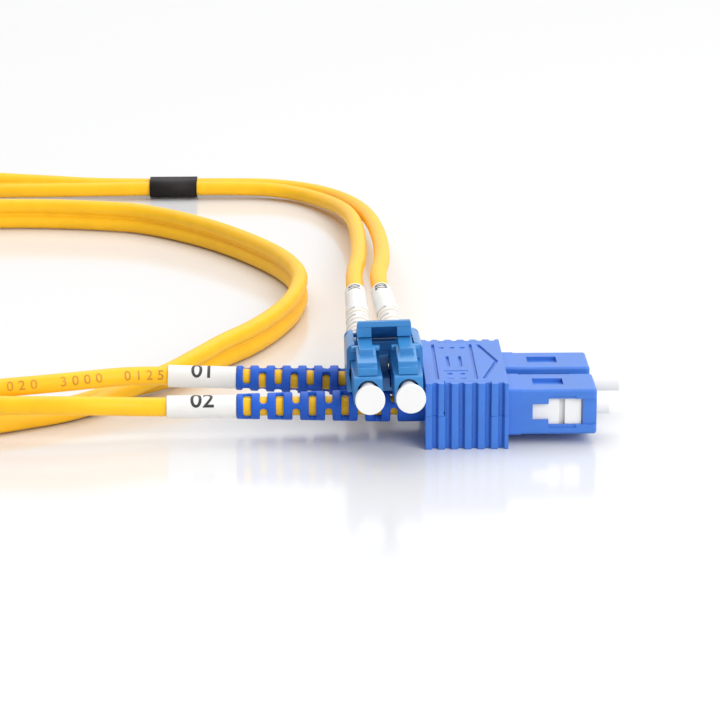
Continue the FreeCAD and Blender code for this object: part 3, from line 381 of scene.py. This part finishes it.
# ---- zip cord -------------------------------------------------------------------------
# Two 3 mm jackets extruded side by side with a thin web.  The cord lies flat at its bands
# and under the SC legs, and stands on edge round its bends.  Each point: x, y, z, tilt.
zip_cord = run_cord("zip_jacket", (
    (-0.1150, -0.0026, 0.0022, 0), (-0.1260, -0.0026, 0.0022, 10), (-0.1380, 0.0022, 0.0028, 45),
    (-0.1460, 0.0125, 0.0032, 80), (-0.1495, 0.0270, 0.0031, 90), (-0.1510, 0.0450, 0.0031, 90),
    (-0.1510, 0.0660, 0.0031, 90), (-0.1490, 0.0860, 0.0031, 90), (-0.1440, 0.1040, 0.0031, 90),
    (-0.1350, 0.1195, 0.0031, 90), (-0.1225, 0.1310, 0.0031, 90), (-0.1080, 0.1375, 0.0031, 90),
    (-0.0950, 0.1400, 0.0031, 90), (-0.0825, 0.1401, 0.0031, 90), (-0.0723, 0.1398, 0.0031, 90),
    (-0.0620, 0.1377, 0.0031, 90), (-0.0522, 0.1347, 0.0031, 90), (-0.0390, 0.1216, 0.0031, 90),
    (-0.0299, 0.1074, 0.0031, 90), (-0.0240, 0.0952, 0.0031, 90), (-0.0210, 0.0835, 0.0031, 90),
    (-0.0209, 0.0723, 0.0031, 90), (-0.0232, 0.0582, 0.0031, 90), (-0.0288, 0.0431, 0.0031, 90),
    (-0.0339, 0.0346, 0.0032, 85), (-0.0387, 0.0256, 0.0031, 70), (-0.0430, 0.0201, 0.0028, 45),
    (-0.0507, 0.0132, 0.0021, 15), (-0.0575, 0.0054, 0.0016, 0), (-0.0690, -0.0010, 0.0016, 0),
    (-0.0800, -0.0070, 0.0016, 0), (-0.0900, -0.0115, 0.0019, 10), (-0.1010, -0.0140, 0.0027, 40),
    (-0.1140, -0.0150, 0.0032, 75), (-0.1275, -0.0130, 0.0031, 90), (-0.1405, -0.0070, 0.0031, 90),
    (-0.1515, 0.0035, 0.0031, 90), (-0.1590, 0.0180, 0.0031, 90), (-0.1630, 0.0360, 0.0031, 90),
    (-0.1645, 0.0570, 0.0031, 90), (-0.1640, 0.0790, 0.0031, 90), (-0.1610, 0.1010, 0.0031, 90),
    (-0.1550, 0.1220, 0.0031, 90), (-0.1455, 0.1410, 0.0031, 90), (-0.1320, 0.1560, 0.0031, 90),
    (-0.1150, 0.1655, 0.0032, 80), (-0.0990, 0.1695, 0.0030, 60), (-0.0860, 0.1693, 0.0026, 40),
    (-0.0750, 0.1689, 0.0024, 20), (-0.0640, 0.1683, 0.0022, 5), (-0.0530, 0.1683, 0.0022, 0)))
zip_line = read_line(zip_cord)
section = bpy.data.curves.new("zip_section", "CURVE")
section.dimensions = "2D"
outline = section.splines.new("POLY")
lobe_out, lobe_reach, rounds = 0.00155, math.radians(152), 14
lobe = [(lobe_out + jacket_radius * math.cos(angle), jacket_radius * math.sin(angle))
        for angle in (lobe_reach * (2 * step / (rounds - 1) - 1) for step in range(rounds))]
eight = lobe + [(-across, -up) for across, up in lobe]
outline.points.add(len(eight) - 1)
for point, (across, up) in zip(outline.points, eight):
    point.co = (across, up, 0, 1)
outline.use_cyclic_u = True
section_form = bpy.data.objects.new("zip_section", section)
bpy.context.scene.collection.objects.link(section_form)
zip_cord.data.bevel_mode = "OBJECT"
zip_cord.data.bevel_object = section_form
zip_cord.data.twist_mode = "Z_UP"
zip_cord.data.use_fill_caps = True
bpy.ops.object.select_all(action="DESELECT")
zip_cord.select_set(True)
bpy.context.view_layer.objects.active = zip_cord
bpy.ops.object.convert(target="MESH")
zip_cord = bpy.context.object
bpy.data.objects.remove(section_form)
zip_cord.data.materials.clear()
zip_cord.data.materials.append(jacket)
bpy.ops.object.shade_smooth_by_angle(angle=math.radians(50))
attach(zip_cord, "lead")
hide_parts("zip_cord")

# ---- LC plugs -------------------------------------------------------------------------
# Two square plug bodies with sprung latch levers, in a greener blue than the SC parts,
# with the same train of ferrule, spring and crimp inside.
lc_blue = moulded("lc_blue_nylon", (0.035, 0.225, 0.54), roughness=0.3)
for side in ("left", "right"):
    dress("lc_%s_body" % side, lc_blue, edge=0.0001, clamp=False)
    dress("lc_%s_latch" % side, lc_blue, edge=0.0001, clamp=False)
    dress("lc_%s_ferrule" % side, zirconia, edge=0)
    dress("lc_%s_buffer" % side, white, edge=0)
    for metal in ("flange", "spring", "backbone", "crimp"):
        dress("lc_%s_%s" % (side, metal), steel, edge=0)
    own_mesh(nodes["lc_%s_spring" % side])

# ---- LC clip and trigger --------------------------------------------------------------
# The yoke that holds both plugs at their pitch, and the hinged bar that presses both
# latches at once.
dress("lc_clip", lc_blue, edge=0.0001, clamp=False)
dress("lc_trigger", lc_blue, edge=0.0001, flats=False)

# ---- LC boots, sleeves and dust caps --------------------------------------------------
# White slotted boots and shrunk sleeves with small plain numbers, and milky polythene caps
# on the ferrules, whose discs cover the noses.
for side, digits in (("left", "01"), ("right", "02")):
    dress("lc_%s_boot" % side, white, edge=0.0002)
    dress("lc_%s_cap" % side, milky, edge=0.00012)
    name = "lc_%s_marker" % side
    dress(name, sleeve, edge=0.00008)
    print_round("lc_%s_number" % side, digits, height=0.0022,
                                  line=sleeve_line(name, 1)[::-1], start=0.0008,
                                  radius=0.00186, turn=math.radians(82), ink=black_ink,
                                  away=Vector((-1, 0, 0)))

# ---- LC legs --------------------------------------------------------------------------
# The last two 3 mm round cords in the same yellow jacket, from the second band up through
# sleeves and boots into the crimps.
left_leg = run_cord("lc_left_jacket", (
    (-0.0109, 0.0034, 0.0108), (-0.0109, 0.0049, 0.0108), (-0.0112, 0.0379, 0.01088),
    (-0.0113, 0.0489, 0.0109), (-0.0112, 0.0600, 0.0102), (-0.0101, 0.0740, 0.0090),
    (-0.0096, 0.1006, 0.0065), (-0.0099, 0.1240, 0.0046), (-0.0116, 0.1400, 0.0033),
    (-0.0152, 0.1520, 0.0024), (-0.0204, 0.1610, 0.0020), (-0.0270, 0.1657, 0.0021),
    (-0.0345, 0.16675, 0.0022), (-0.0430, 0.16675, 0.0022)))
jacketed(left_leg, "lc_left_leg")
right_leg = run_cord("lc_right_jacket", (
    (-0.0046, 0.0036, 0.0110), (-0.0047, 0.0051, 0.0110), (-0.0064, 0.0380, 0.01093),
    (-0.0070, 0.0490, 0.0109), (-0.0069, 0.0600, 0.0103), (-0.0057, 0.0740, 0.0090),
    (-0.0054, 0.1004, 0.0065), (-0.0064, 0.1250, 0.0046), (-0.0087, 0.1425, 0.0033),
    (-0.0124, 0.1555, 0.0024), (-0.0180, 0.1646, 0.0020), (-0.0260, 0.1692, 0.0021),
    (-0.0345, 0.16985, 0.0022), (-0.0430, 0.16985, 0.0022)))
jacketed(right_leg, "lc_right_leg")
